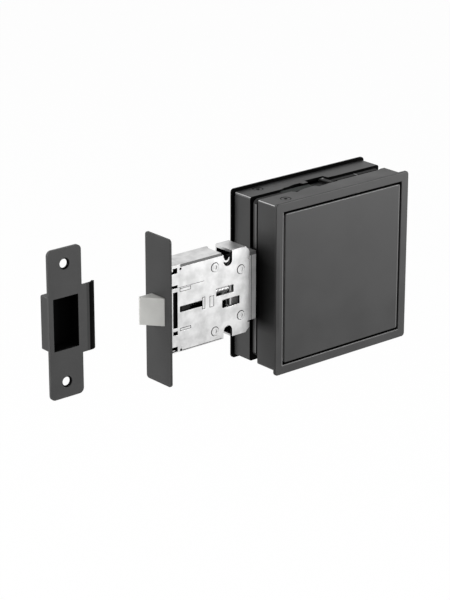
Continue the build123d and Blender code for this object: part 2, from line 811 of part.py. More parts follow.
def make_panel(side, hinge_y, nose_y, lane_z):
    """One swinging panel: plate, two hinge ears, two ribs and the arm to the slide."""
    inner_y = side * (half_pull - panel_thickness)
    arm_length = abs(nose_y - inner_y)
    with BuildPart() as panel:
        with BuildSketch(side_plane(side, 0)):
            RectangleRounded(panel_size, panel_size, panel_corner)
        extrude(amount=-panel_thickness)
        fillet(panel.faces().sort_by(Axis.Y)[-1 if side > 0 else 0].edges(), panel_edge_round)
        for z in (ear_top_z - ear_thickness, -ear_top_z):
            with BuildSketch(Plane.XY.offset(z)):
                with Locations((hinge_x, (hinge_y + inner_y) / 2)):
                    Rectangle(2 * ear_radius, abs(hinge_y - inner_y))
                with Locations((hinge_x, hinge_y)):
                    Circle(ear_radius)
                    Circle(hinge_pin_radius + pin_gap, mode=Mode.SUBTRACT)
            extrude(amount=ear_thickness)
        with BuildSketch(side_plane(side, panel_thickness)):
            with Locations((hinge_x - pull_x - ear_radius, 0), (hinge_x - pull_x + ear_radius, 0)):
                Rectangle(panel_rib_thickness, panel_rib_height)
        extrude(amount=-panel_rib_depth)
        with BuildSketch(Plane.XY.offset(lane_z - cam_arm_thickness / 2)):
            with Locations((cam_arm_x, (inner_y + nose_y) / 2)):
                Rectangle(cam_arm_width, arm_length)
            with Locations((cam_arm_x, nose_y)):
                Circle(nose_radius)
        extrude(amount=cam_arm_thickness)
    return panel


front_panel = make_panel(-1, front_hinge_y, cam_nose_y, cam_lane_z)
save(front_panel, "front_panel")

# The rear arm ends clear of the slide by its own full push
rear_push = (cam_arm_x - hinge_x) * sin(swing)
rear_nose_y = slide_back_y + running_gap + rear_push + nose_radius + seat_gap
rear_panel = make_panel(1, rear_hinge_y, rear_nose_y, -cam_lane_z)
save(rear_panel, "rear_panel")


def make_pins(hinge_y):
    """The upper and lower hinge pins of one panel, with drilled heads."""
    with BuildPart() as pins:
        head_z = shell_top - hinge_head_recess
        for sign in (1, -1):
            with BuildSketch(Plane.XY.offset(sign * head_z)):
                with Locations((hinge_x, hinge_y)):
                    Circle(hinge_pin_radius)
            extrude(amount=sign * (ear_top_z - ear_thickness - seat_gap - head_z))
            with BuildSketch(Plane.XY.offset(sign * head_z)):
                with Locations((hinge_x, hinge_y)):
                    Circle(hinge_head_radius)
            extrude(amount=sign * hinge_head_height)
            with BuildSketch(Plane.XY.offset(sign * (head_z + hinge_head_height))):
                with Locations((hinge_x, hinge_y)):
                    Circle(hinge_head_hole)
            extrude(amount=-sign * hinge_head_hole_depth, mode=Mode.SUBTRACT)
    return pins


def make_torsion_springs(side, hinge_y):
    """Coils round the pins, between each ear and the shell, with one leg each."""
    inner = hinge_pin_radius + running_gap
    with BuildPart() as springs:
        for sign in (1, -1):
            low = ear_top_z + running_gap
            high = shell_top - shell_wall - running_gap
            with BuildSketch(Plane.XY.offset(sign * low)):
                with Locations((hinge_x, hinge_y)):
                    Circle(inner + torsion_wire)
                    Circle(inner, mode=Mode.SUBTRACT)
            extrude(amount=sign * (high - low))
            with BuildSketch(Plane.XY.offset(sign * high)):
                leg_y = hinge_y - side * (inner + torsion_wire / 2)
                with Locations((hinge_x + torsion_leg_length / 2, leg_y)):
                    Rectangle(torsion_leg_length, torsion_wire)
            extrude(amount=-sign * torsion_wire)
    return springs


front_pins = make_pins(front_hinge_y)
save(front_pins, "front_hinge_pins")
rear_pins = make_pins(rear_hinge_y)
save(rear_pins, "rear_hinge_pins")
front_springs = make_torsion_springs(-1, front_hinge_y)
save(front_springs, "front_panel_springs")
rear_springs = make_torsion_springs(1, rear_hinge_y)
save(rear_springs, "rear_panel_springs")

# Core frame: plate between the shells, open for the tongue, the guide and the cams
with BuildPart() as core_frame:
    core_width = core_right_x - core_left_x
    core_height = core_top - core_bottom
    core_x = (core_left_x + core_right_x) / 2
    core_z = (core_top + core_bottom) / 2
    with BuildSketch(Plane.XZ.offset(-core_front_y)):
        with Locations((core_x, core_z)):
            RectangleRounded(core_width, core_height, core_corner)
        window_start = core_left_x + core_bar
        window_end = core_right_x - core_corner
        with Locations(((window_start + window_end) / 2, core_z)):
            Rectangle(window_end - window_start, core_height - 2 * core_rail, mode=Mode.SUBTRACT)
        with Locations((core_left_x + core_bar / 2, (tongue_top + tongue_bottom) / 2)):
            Rectangle(
                core_bar + overrun,
                tongue_top - tongue_bottom + 2 * running_gap,
                mode=Mode.SUBTRACT,
            )
        with Locations(((guide_start_x + guide_end_x) / 2, core_top)):
            Rectangle(
                guide_end_x - guide_start_x + 2 * seat_gap,
                2 * guide_notch_depth,
                mode=Mode.SUBTRACT,
            )
        with Locations(((block_start_x + block_end_x) / 2, core_top)):
            Rectangle(
                block_end_x - block_start_x + 2 * seat_gap,
                2 * (block_height + seat_gap),
                mode=Mode.SUBTRACT,
            )
    extrude(amount=core_front_y - core_back_y)
    with BuildSketch(Plane.XZ.offset(-front_shell_back_y)):
        with Locations(pull_screw_places):
            Circle(core_boss_radius)
    extrude(amount=front_shell_back_y - rear_shell_back_y)
    with BuildSketch(Plane.XZ.offset(-front_shell_back_y)):
        with Locations(pull_screw_places):
            Circle(pull_screw_radius + pin_gap)
    extrude(amount=front_shell_back_y - rear_shell_back_y, mode=Mode.SUBTRACT)
save(core_frame, "core_frame")

# Slide guide: a block in the core's gap, with the tunnel that the slide runs in
with BuildPart() as slide_guide:
    guide_top = core_top - seat_gap
    guide_bottom = core_bottom + core_rail + seat_gap
    guide_front_y = front_shell_back_y + running_gap
    guide_back_y = rear_shell_back_y - running_gap
    with BuildSketch(Plane.XZ.offset(-guide_front_y)):
        with Locations(((guide_start_x + guide_end_x) / 2, (guide_top + guide_bottom) / 2)):
            Rectangle(guide_end_x - guide_start_x, guide_top - guide_bottom)
    extrude(amount=guide_front_y - guide_back_y)
    with BuildSketch(Plane.YZ.offset(guide_start_x)):
        with Locations((slide_middle_y, 0)):
            Rectangle(slide_thickness + 2 * running_gap, slide_height + 2 * running_gap)
        rail_low = core_top - core_rail - seat_gap
        rail_high = core_top - guide_notch_depth + seat_gap
        with Locations((core_middle_y, (rail_low + rail_high) / 2)):
            Rectangle(core_back_y - core_front_y + 2 * seat_gap, rail_high - rail_low)
    extrude(amount=guide_end_x - guide_start_x, mode=Mode.SUBTRACT)
save(slide_guide, "slide_guide")

# Stop block with its raised lug, in the notch at the top of the core
with BuildPart() as stop_block:
    block_front_y = front_shell_back_y + running_gap
    with BuildSketch(Plane.XY.offset(core_top - block_height)):
        with Locations(((block_start_x + block_end_x) / 2, (block_front_y + block_depth_y) / 2)):
            Rectangle(block_end_x - block_start_x, block_depth_y - block_front_y)
    extrude(amount=block_height - block_lug_height)
    with BuildSketch(Plane.XY.offset(core_top - block_lug_height)):
        with Locations((block_start_x + block_lug_length / 2, (block_front_y + block_depth_y) / 2)):
            Rectangle(block_lug_length, block_depth_y - block_front_y)
    extrude(amount=block_lug_height)
save(stop_block, "stop_block")

# Pull screws: four flat-headed screws that draw the shells together
with BuildPart() as pull_screws:
    head_y = front_shell_back_y - shell_back_wall
    screw_end_y = rear_shell_back_y + shell_back_wall + pull_boss_length
    with BuildSketch(Plane.XZ.offset(-head_y)):
        with Locations(pull_screw_places):
            Circle(pull_screw_head_radius)
    extrude(amount=pull_screw_head_height)
    with BuildSketch(Plane.XZ.offset(-head_y)):
        with Locations(pull_screw_places):
            Circle(pull_screw_radius)
    extrude(amount=head_y - screw_end_y)
save(pull_screws, "pull_screws")

# Strike plate with its mouth, countersunk holes and curved lip
with BuildPart() as strike_plate:
    with BuildSketch(Plane.XZ):
        with Locations((strike_x, strike_z)):
            RectangleRounded(strike_width, strike_height, strike_corner)
        with Locations((strike_x + strike_mouth_shift, strike_z + strike_mouth_rise)):
            RectangleRounded(
                strike_mouth_width, strike_mouth_height, strike_mouth_corner, mode=Mode.SUBTRACT
            )
    extrude(amount=-strike_thickness)
    lip_root_x = strike_x + strike_width / 2
    lip_bend_x = lip_root_x + strike_lip_reach
    lip_inner_radius = strike_lip_radius - strike_thickness
    with BuildSketch(Plane.XY.offset(strike_z - strike_lip_height / 2)):
        with BuildLine():
            outer_bend = CenterArc(
                (lip_bend_x, strike_lip_radius), strike_lip_radius, -90, strike_lip_angle
            )
            inner_bend = CenterArc(
                (lip_bend_x, strike_lip_radius), lip_inner_radius, -90, strike_lip_angle
            )
            Line(outer_bend @ 1, inner_bend @ 1)
            Polyline(
                inner_bend @ 0,
                (lip_root_x - overrun, strike_thickness),
                (lip_root_x - overrun, 0),
                outer_bend @ 0,
            )
        make_face()
    extrude(amount=strike_lip_height)
    with Locations(Plane.XZ):
        with Locations((strike_x, strike_z)):
            with GridLocations(0, strike_screw_pitch, 1, 2):
                CounterSinkHole(
                    strike_screw_radius,
                    strike_countersink_radius,
                    counter_sink_angle=strike_countersink_angle,
                )
    with BuildSketch(Plane.XZ.offset(-strike_thickness)):
        with Locations((strike_x, dust_box_z)):
            RectangleRounded(
                dust_box_width + 2 * seat_gap, dust_box_height + 2 * seat_gap, dust_box_corner
            )
    extrude(amount=strike_seat_depth, mode=Mode.SUBTRACT)
save(strike_plate, "strike_plate")

# Dust box behind the strike's mouth
with BuildPart() as dust_box:
    box_front_y = strike_thickness - strike_seat_depth
    with BuildSketch(Plane.XZ.offset(-box_front_y)):
        with Locations((strike_x, dust_box_z)):
            RectangleRounded(dust_box_width, dust_box_height, dust_box_corner)
    extrude(amount=-(dust_box_depth - box_front_y))
    with BuildSketch(Plane.XZ.offset(-box_front_y)):
        with Locations((strike_x, dust_box_z)):
            RectangleRounded(
                dust_box_width - 2 * dust_box_wall,
                dust_box_height - 2 * dust_box_wall,
                dust_box_corner - dust_box_wall,
            )
    extrude(amount=-(dust_box_depth - box_front_y - dust_box_wall), mode=Mode.SUBTRACT)
save(dust_box, "dust_box")
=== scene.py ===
import math

import bpy
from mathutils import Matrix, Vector


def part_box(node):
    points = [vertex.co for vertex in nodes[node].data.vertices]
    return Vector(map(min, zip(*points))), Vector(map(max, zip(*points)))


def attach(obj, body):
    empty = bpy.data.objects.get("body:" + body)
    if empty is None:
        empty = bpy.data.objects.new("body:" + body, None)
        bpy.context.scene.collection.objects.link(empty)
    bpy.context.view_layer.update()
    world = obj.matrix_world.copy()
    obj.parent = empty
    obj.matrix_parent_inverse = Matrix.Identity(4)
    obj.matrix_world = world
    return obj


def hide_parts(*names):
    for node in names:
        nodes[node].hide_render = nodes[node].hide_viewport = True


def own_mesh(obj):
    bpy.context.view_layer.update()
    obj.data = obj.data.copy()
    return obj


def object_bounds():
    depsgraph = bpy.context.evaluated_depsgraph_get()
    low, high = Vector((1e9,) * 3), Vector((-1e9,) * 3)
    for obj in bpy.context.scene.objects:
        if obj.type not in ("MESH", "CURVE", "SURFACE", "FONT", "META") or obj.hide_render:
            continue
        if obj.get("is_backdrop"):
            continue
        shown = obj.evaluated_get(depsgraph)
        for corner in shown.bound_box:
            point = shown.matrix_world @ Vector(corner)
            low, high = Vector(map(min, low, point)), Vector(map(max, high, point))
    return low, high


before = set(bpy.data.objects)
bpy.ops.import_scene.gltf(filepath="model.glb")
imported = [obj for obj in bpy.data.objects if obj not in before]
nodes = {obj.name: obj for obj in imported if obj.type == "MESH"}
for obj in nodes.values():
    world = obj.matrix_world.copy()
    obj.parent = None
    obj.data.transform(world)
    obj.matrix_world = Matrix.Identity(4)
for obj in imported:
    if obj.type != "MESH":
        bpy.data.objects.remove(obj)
low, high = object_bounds()

# Places and lengths are in millimetres, up to the room, the lamps and the camera
MM = 0.001
hinge_x = 80.2
front_hinge_y = -9.7
rear_hinge_y = 13.2

# Painted shade for recesses that no light leaves: nearly black, metallic and dull
painted_shade_tone = 0.004
painted_shade_gloss = 0.8


def grey(tone):
    """The same tone in red, green and blue."""
    return (tone,) * 3


class Finish:
    """A material in the making: its nodes, its links, its shader and its place."""

    def __init__(self, name):
        self.material = bpy.data.materials.new(name)
        self.material.use_nodes = True
        self.nodes = self.material.node_tree.nodes
        self.links = self.material.node_tree.links
        self.shader = self.nodes["Principled BSDF"]
        self.place = self.nodes.new("ShaderNodeTexCoord").outputs["Object"]
        self.axes = self.nodes.new("ShaderNodeSeparateXYZ")
        self.links.new(self.place, self.axes.inputs["Vector"])
        self.colour = None
        self.gloss = None
        self.metal = None

    def feed(self, socket, value):
        """A number, a colour or a pattern put into a socket."""
        if isinstance(value, tuple):
            socket.default_value = (*value, 1)
        elif isinstance(value, (int, float)):
            socket.default_value = value
        else:
            self.links.new(value, socket)

    def grain(self, scale, detail=4.0, roughness=0.55, stretch=(1, 1, 1)):
        """Noise in the piece's own coordinates, drawn out along an axis if asked."""
        turned = self.nodes.new("ShaderNodeMapping")
        turned.inputs["Scale"].default_value = stretch
        self.links.new(self.place, turned.inputs["Vector"])
        noise = self.nodes.new("ShaderNodeTexNoise")
        noise.inputs["Scale"].default_value = scale
        noise.inputs["Detail"].default_value = detail
        noise.inputs["Roughness"].default_value = roughness
        self.links.new(turned.outputs["Vector"], noise.inputs["Vector"])
        return noise.outputs["Fac"]

    def spread(self, source, low_value, high_value, start=0.35, end=0.65):
        """A pattern turned into a range of plain values."""
        ramp = self.nodes.new("ShaderNodeMapRange")
        ramp.inputs["From Min"].default_value = start
        ramp.inputs["From Max"].default_value = end
        ramp.inputs["To Min"].default_value = low_value
        ramp.inputs["To Max"].default_value = high_value
        self.links.new(source, ramp.inputs["Value"])
        return ramp.outputs["Result"]

    def tints(self, source, first, second, start=0.35, end=0.65):
        """A pattern turned into colours between two tints."""
        ramp = self.nodes.new("ShaderNodeValToRGB")
        ramp.color_ramp.elements[0].position = start
        ramp.color_ramp.elements[0].color = (*first, 1)
        ramp.color_ramp.elements[1].position = end
        ramp.color_ramp.elements[1].color = (*second, 1)
        self.links.new(source, ramp.inputs["Fac"])
        return ramp.outputs["Color"]

    def maths(self, operation, first, second):
        """One maths step between two patterns, or a pattern and a number."""
        step = self.nodes.new("ShaderNodeMath")
        step.operation = operation
        self.feed(step.inputs[0], first)
        self.feed(step.inputs[1], second)
        return step.outputs["Value"]

    def within(self, **ranges):
        """1 where the place lies inside the ranges of x, y and z."""
        mask = None
        for axis, (start, end) in ranges.items():
            value = self.axes.outputs[axis.upper()]
            for operation, limit in (("GREATER_THAN", start), ("LESS_THAN", end)):
                if limit is None:
                    continue
                side = self.maths(operation, value, limit * MM)
                mask = side if mask is None else self.maths("MULTIPLY", mask, side)
        return mask

    def round_spot(self, x, y, inner, outer):
        """1 on a ring round an upright axis."""
        across = self.maths("SUBTRACT", self.axes.outputs["X"], x * MM)
        along = self.maths("SUBTRACT", self.axes.outputs["Y"], y * MM)
        squares = [self.maths("MULTIPLY", value, value) for value in (across, along)]
        away = self.maths("ADD", *squares)
        wide = self.maths("LESS_THAN", away, (outer * MM) ** 2)
        narrow = self.maths("GREATER_THAN", away, (inner * MM) ** 2)
        return self.maths("MULTIPLY", wide, narrow)

    def sweep(self, axis, start, end, first, second):
        """Colours that change evenly from one place to another."""
        share = self.spread(self.axes.outputs[axis], 0, 1, start * MM, end * MM)
        return self.tints(share, first, second, 0, 1)

    def blend(self, mask, first, second):
        """The first colour or value, and the second where the mask is 1."""
        mix = self.nodes.new("ShaderNodeMix")
        coloured = isinstance(second, tuple) or getattr(second, "type", None) == "RGBA"
        mix.data_type, kind = ("RGBA", "RGBA") if coloured else ("FLOAT", "VALUE")
        places = [socket for socket in mix.inputs if socket.name in "AB" and socket.type == kind]
        self.links.new(mask, mix.inputs["Factor"])
        self.feed(places[0], first)
        self.feed(places[1], second)
        return next(socket for socket in mix.outputs if socket.type == kind)

    def paint_over(self, mask, colour, gloss, metal=None):
        """Another colour and gloss where the mask is 1."""
        self.colour = self.blend(mask, self.colour, colour)
        self.gloss = self.blend(mask, self.gloss, gloss)
        if metal is not None:
            own = self.shader.inputs["Metallic"].default_value if self.metal is None else self.metal
            self.metal = self.blend(mask, own, metal)

    def paint_shade(self, mask):
        """Paints shade, nearly black, metallic and dull, where the mask is 1."""
        self.paint_over(mask, grey(painted_shade_tone), painted_shade_gloss, 1.0)

    def relief(self, source, strength, distance):
        """A shallow relief from a pattern."""
        bump = self.nodes.new("ShaderNodeBump")
        bump.inputs["Strength"].default_value = strength
        bump.inputs["Distance"].default_value = distance * MM
        self.links.new(source, bump.inputs["Height"])
        self.links.new(bump.outputs["Normal"], self.shader.inputs["Normal"])

    def done(self):
        """Joins the last colour, gloss and metal to the shader."""
        self.links.new(self.colour, self.shader.inputs["Base Color"])
        self.links.new(self.gloss, self.shader.inputs["Roughness"])
        if self.metal is not None:
            self.links.new(self.metal, self.shader.inputs["Metallic"])
        return self.material


def powder_coat(name, *painted_shade_areas, dark=0.022, light=0.026, painted_light_areas=(), marks=(), painted_shadow=()):
    """Dark satin powder coat with a fine, even grain.

    painted_shade_areas: areas in painted shade, nearly black; painted_light_areas: areas with their
    tone and gloss, painted highlights on edges and a darker painted shade; marks: rings round an
    upright axis with their x, y, inner and outer radius and tone, painted shade in gaps and holes
    and painted highlights; painted_shadow: for each axis the places between which a soft, nearly
    black painted shadow comes in.
    """
    coat = Finish(name)
    fine = coat.grain(2600.0, detail=3.0)
    cloud = coat.grain(45.0, detail=3.0)
    coat.colour = coat.tints(cloud, grey(dark), grey(light))
    coat.gloss = coat.spread(cloud, 0.38, 0.46)
    coat.shader.inputs["Specular IOR Level"].default_value = 0.3
    # Painted highlights on edges, and painted shade where the tone is darker
    for area, tone, gloss in painted_light_areas:
        coat.paint_over(coat.within(**area), grey(tone), gloss)
    # Painted shade in the recesses
    for area in painted_shade_areas:
        coat.paint_shade(coat.within(**area))
    darkest_coat, mark_gloss = 0.01, 0.6
    # Painted shade in rings and holes, and painted highlights on bright spots
    for x, y, inner, outer, tone in marks:
        spot = coat.round_spot(x, y, inner, outer)
        coat.paint_over(spot, grey(tone), mark_gloss, 1.0 if tone < darkest_coat else None)
    # Painted shadow, soft and nearly black, coming in between the given places on each axis
    if painted_shadow:
        painted_shadow_depth = 0.98
        share = 1.0
        for axis, outside, inside in painted_shadow:
            value = coat.axes.outputs[axis]
            depth = coat.spread(value, 0, painted_shadow_depth, outside * MM, inside * MM)
            share = coat.maths("MULTIPLY", depth, share)
        coat.paint_shade(share)
    coat.relief(fine, strength=0.1, distance=0.05)
    return coat.done()


def bright_zinc(name, dark, light, gloss, painted_shade_areas=(), metal=1.0, brushed=(1, 1, 1), extra=()):
    """Bright zinc with soft clouds of crystals and a light brushing.

    painted_shade_areas: areas in painted shade, nearly black; extra: areas with their tone and
    gloss, among them painted light and shade;
    brushed: how dense the brushing is along x, y and z.
    """
    zinc = Finish(name)
    zinc.shader.inputs["Metallic"].default_value = metal
    cloud = zinc.grain(150.0, detail=3.0, roughness=0.5)
    flake = zinc.grain(700.0, detail=4.0, roughness=0.6)
    stretch = tuple(200 * share for share in brushed)
    lines = zinc.grain(3.0, detail=3.0, roughness=0.6, stretch=stretch)
    cloud_share, flake_share = 0.88, 0.12
    soft = zinc.maths(
        "ADD",
        zinc.maths("MULTIPLY", cloud, cloud_share),
        zinc.maths("MULTIPLY", flake, flake_share),
    )
    zinc.colour = zinc.tints(soft, grey(dark), grey(light), 0.36, 0.62)
    zinc.gloss = zinc.spread(lines, *gloss)
    for area, tone, roughness in extra:
        zinc.paint_over(zinc.within(**area), grey(tone), roughness)
    # Painted shade in the recesses
    for area in painted_shade_areas:
        zinc.paint_shade(zinc.within(**area))
    zinc.relief(lines, strength=0.02, distance=0.02)
    return zinc.done()


def satin_casting(name, dark, light):
    """Cast latch metal with a fine satin skin."""
    casting = Finish(name)
    fine = casting.grain(1400.0)
    cloud = casting.grain(90.0, detail=3.0)
    casting.shader.inputs["Metallic"].default_value = 0.15
    casting.colour = casting.tints(cloud, dark, light)
    casting.gloss = casting.spread(fine, 0.38, 0.5)
    casting.relief(fine, strength=0.1, distance=0.03)
    return casting.done()


def moulded_plastic(name, dark, light, gloss, extra=(), painted_shade_sweep=None, metal=0.0):
    """Moulded plastic with a fine spark-eroded grain.

    extra: areas with their tone and gloss, here painted highlights; painted_shade_sweep: an area
    and a painted shade sweeping across it.
    """
    plastic = Finish(name)
    fine = plastic.grain(1500.0)
    plastic.colour = plastic.tints(fine, dark, light)
    plastic.gloss = plastic.spread(fine, *gloss)
    plastic.shader.inputs["Specular IOR Level"].default_value = 0.12
    plastic.shader.inputs["Metallic"].default_value = metal
    # Painted shade sweeping from dark to lighter across an area
    if painted_shade_sweep:
        area, sweep = painted_shade_sweep
        swept = plastic.sweep(*sweep)
        plastic.colour = plastic.blend(plastic.within(**area), plastic.colour, swept)
    # Painted highlights
    for area, tone, roughness in extra:
        plastic.paint_over(plastic.within(**area), grey(tone), roughness)
    plastic.relief(fine, strength=0.15, distance=0.05)
    return plastic.done()


# Recesses of the pulls in painted shade, nearly black
wall_inside = {"x": (68.62, 161.2), "z": (-45.95, 45.95)}
front_cavity = {**wall_inside, "y": (-17.3, -1.8)}
front_panel_gap = {"x": (70.3, 158.0), "z": (-44.0, 44.0), "y": (-18.65, -17.3)}
front_notch = {"x": (89.0, 160.3), "y": (-6.4, -1.9), "z": (45.5, 47.25)}
rear_cavity = {**wall_inside, "y": (4.0, 17.3)}
rear_rim = {"y": (4.0, 4.55)}
rear_panel_gap = {"y": (17.35, 18.75)}
rear_notch = {"x": (88.0, 160.8), "y": (4.3, 8.75), "z": (45.5, 47.25)}
front_panel_top_edge = {"y": (-18.55, None), "z": (42.2, None)}
front_panel_bottom_edge = {"y": (-18.55, None), "z": (None, -42.2)}

# Painted highlights on edges of the pulls
left_top_highlight = {"x": (None, 67.75), "y": (-17.3, 17.3), "z": (46.9, None)}
frame_left_highlight = {"x": (70.10, 70.70), "y": (None, -18.65), "z": (-43.8, 43.8)}
frame_bottom_highlight = {"x": (70.20, 158.2), "y": (None, -18.65), "z": (-44.30, -43.70)}
panel_right_highlight = {"x": (156.15, None), "y": (None, -18.5)}
panel_top_highlight = {"z": (42.15, None), "y": (None, -18.5)}
panel_left_highlight = {"x": (None, 71.9), "y": (-18.6, -17.4)}

# Painted shade in rings round the hinge pins in the shells, in slits round the pins and in holes in
# their heads, and a painted highlight on the front shell's top, each with its inner and outer
# radius and its tone
shell_ring_shade = (2.75, 3.15, 0.008)
pin_slit_shade = (2.5, 3.0, 0.008)
pin_hole_shade = (0.0, 1.15, 0.003)
front_pin = (hinge_x, front_hinge_y)
rear_pin = (hinge_x, rear_hinge_y)
front_shell_glint = (121.05, -3.2, 0.0, 0.5, 0.35)

# Areas of the lock case, the strike and the blocks between the pulls, many in painted shade and
# painted highlights
# Painted shade on the walls of the strike's mouth and on the end of its lip, a darker painted shade
# on the lip
strike_mouth_walls = {"y": (0.25, 1.35), "x": (-70.0, -51.0), "z": (-30.0, 45.0)}
strike_lip_end_shade = {"x": (-45.3, None)}
strike_lip_shade = {"x": (-47.0, None)}
# Painted shade inside the dust box and on the cut walls of the cover's windows
dust_box_inside = {"x": (-69.15, -51.75), "z": (-7.2, 21.4), "y": (None, 8.3)}
cover_cut_walls = {"y": (-7.05, -5.95), "x": (2.5, 56.8), "z": (-23.7, 25.1)}
spring_stop = {"x": (43.0, 45.6), "y": (-5.95, None), "z": (-6.3, 6.0)}
# Painted shade inside the case; the front edge of the case's top wall is darker cut metal with
# painted shade
case_inside = {"y": (-6.9, 6.0), "z": (-22.7, 23.75)}
case_top_front = {"y": (None, -7.05), "z": (23.5, None)}
# Painted shade across the core's left edge, painted highlights on the core's top edge and on the
# lug
core_left_edge_shade = {"x": (None, 67.5)}
core_top_glint = {"x": (141.1, 141.8), "z": (45.6, None)}
lug_glint = {"x": (121.6, None), "y": (6.4, None), "z": (46.2, None)}

bright = (0.42, 0.55)
wire_gloss = (0.28, 0.36)

node_finish = {
    # Painted shade on the faceplate's edges and back
    "faceplate": powder_coat("faceplate_coat", {"x": (0.35, None)}),
    "forend": bright_zinc("forend_zinc", *bright, (0.3, 0.45)),
    # Front shell: painted shade in the cavity, the panel gap, the notch and the pin's ring, painted
    # highlights on edges and a spot, and the case's painted shadow on the left side
    "front_shell": powder_coat(
        "front_shell_coat",
        front_cavity,
        front_panel_gap,
        front_notch,
        painted_light_areas=(
            (left_top_highlight, 0.45, 0.35),
            (frame_left_highlight, 0.22, 0.35),
            (frame_bottom_highlight, 0.1, 0.35),
        ),
        marks=(front_shell_glint, (*front_pin, *shell_ring_shade)),
        painted_shadow=(("X", 68.2, 67.9), ("Y", -25.0, -5.0), ("Z", 32.0, 12.0), ("Z", -27.0, -20.0)),
    ),
    # Rear shell: painted shade in the cavity, the rim, the panel gap, the notch and the pin's ring,
    # a painted highlight on the left top edge
    "rear_shell": powder_coat(
        "rear_shell_coat",
        rear_cavity,
        rear_rim,
        rear_panel_gap,
        rear_notch,
        painted_light_areas=((left_top_highlight, 0.45, 0.35),),
        marks=((*rear_pin, *shell_ring_shade),),
    ),
    # Front panel: painted shade on its edges in the gap and behind, painted highlights on its
    # right, top and left edges
    "front_panel": powder_coat(
        "front_panel_coat",
        front_panel_top_edge,
        front_panel_bottom_edge,
        {"y": (-17.4, None)},
        painted_light_areas=(
            (panel_right_highlight, 0.1, 0.3),
            (panel_top_highlight, 0.1, 0.3),
            (panel_left_highlight, 0.2, 0.4),
        ),
    ),
    # Rear panel: painted shade on its inner side and edges
    "rear_panel": powder_coat("rear_panel_coat", {"y": (None, 18.55)}),
    # Hinge pins: painted shade in the slits round them and in the holes of their heads
    "front_hinge_pins": powder_coat(
        "front_pin_coat", marks=((*front_pin, *pin_slit_shade), (*front_pin, *pin_hole_shade))
    ),
    "rear_hinge_pins": powder_coat(
        "rear_pin_coat", marks=((*rear_pin, *pin_slit_shade), (*rear_pin, *pin_hole_shade))
    ),
    # Strike: painted shade on the walls of the mouth and on the lip's end, a darker painted shade
    # on the lip
    "strike_plate": powder_coat(
        "strike_coat",
        strike_mouth_walls,
        strike_lip_end_shade,
        dark=0.031,
        light=0.036,
        painted_light_areas=((strike_lip_shade, 0.018, 0.6),),
    ),
    # Painted shade inside the dust box
    "dust_box": powder_coat("dust_box_coat", dust_box_inside),
    # Case cover: painted shade on the cut walls of its windows
    "case_cover": bright_zinc(
        "case_cover_zinc",
        *bright,
        (0.33, 0.36),
        painted_shade_areas=(cover_cut_walls,),
        extra=((spring_stop, 0.3, 0.6),),
    ),
    # Case body: painted shade inside, and the front edge of the top wall darker cut metal with
    # painted shade
    "case_body": bright_zinc(
        "case_body_zinc",
        0.5,
        0.7,
        (0.33, 0.36),
        painted_shade_areas=(case_inside,),
        brushed=(0.3, 3.0, 3.0),
        extra=((case_top_front, 0.1, 0.5),),
    ),
    "case_rivets": bright_zinc("case_rivets_zinc", 0.42, 0.52, (0.3, 0.4)),
    # Painted shade inside the screw saddle
    "screw_saddle": bright_zinc(
        "screw_saddle_zinc", *bright, (0.3, 0.4), painted_shade_areas=({"y": (-5.75, None)},)
    ),
    # Tongue: zinc lighter than the cover as painted light, lighter still on its left part, painted
    # shade on a line at the split and on its top band, and the front shell's painted shadow from x
    # 66 on
    "tongue": bright_zinc(
        "tongue_zinc",
        0.75,
        0.85,
        (0.5, 0.6),
        painted_shade_areas=({"x": (66.0, None)},),
        metal=0.2,
        extra=(
            ({"x": (None, 62.8)}, 0.97, 0.5),
            ({"x": (62.5, 62.9)}, 0.1, 0.5),
            ({"z": (17.1, None)}, 0.22, 0.5),
        ),
    ),
    "draw_claw": bright_zinc("draw_claw_zinc", 0.06, 0.1, (0.4, 0.5)),
    "draw_slide": bright_zinc("draw_slide_zinc", 0.3, 0.45, (0.35, 0.5)),
    "latch_bolt": satin_casting("latch_bolt_satin", (0.45, 0.45, 0.432), (0.49, 0.49, 0.472)),
    "latch_stem": bright_zinc("latch_stem_steel", 0.3, 0.45, (0.3, 0.4)),
    "pull_screws": bright_zinc("pull_screws_zinc", 0.4, 0.6, (0.3, 0.4)),
    "latch_spring": bright_zinc("latch_spring_wire", 0.35, 0.5, wire_gloss),
    "slide_spring": bright_zinc("slide_spring_wire", 0.6, 0.75, wire_gloss),
    "front_panel_springs": bright_zinc("front_panel_spring_wire", 0.2, 0.3, wire_gloss),
    "rear_panel_springs": bright_zinc("rear_panel_spring_wire", 0.2, 0.3, wire_gloss),
    # Core: a painted highlight on its top edge, painted shade darkening its left edge towards the
    # back
    "core_frame": moulded_plastic(
        "core_frame_plastic",
        grey(0.004),
        grey(0.007),
        (0.5, 0.65),
        extra=((core_top_glint, 0.3, 0.5),),
        painted_shade_sweep=(core_left_edge_shade, ("Y", 1.9, -0.3, grey(0.003), grey(0.11))),
    ),
    "latch_carrier": moulded_plastic(
        "latch_carrier_plastic", grey(0.004), grey(0.007), (0.55, 0.7)
    ),
    "stop_block": moulded_plastic(
        "stop_block_plastic",
        grey(0.003),
        grey(0.005),
        (0.4, 0.55),
        extra=((lug_glint, 0.4, 0.4),),
        metal=1.0,
    ),
    "slide_guide": moulded_plastic(
        "slide_guide_plastic", (0.009, 0.012, 0.011), (0.014, 0.018, 0.016), (0.5, 0.65)
    ),
}
for name, finish in node_finish.items():
    for held in nodes[name].material_slots:
        held.material = finish

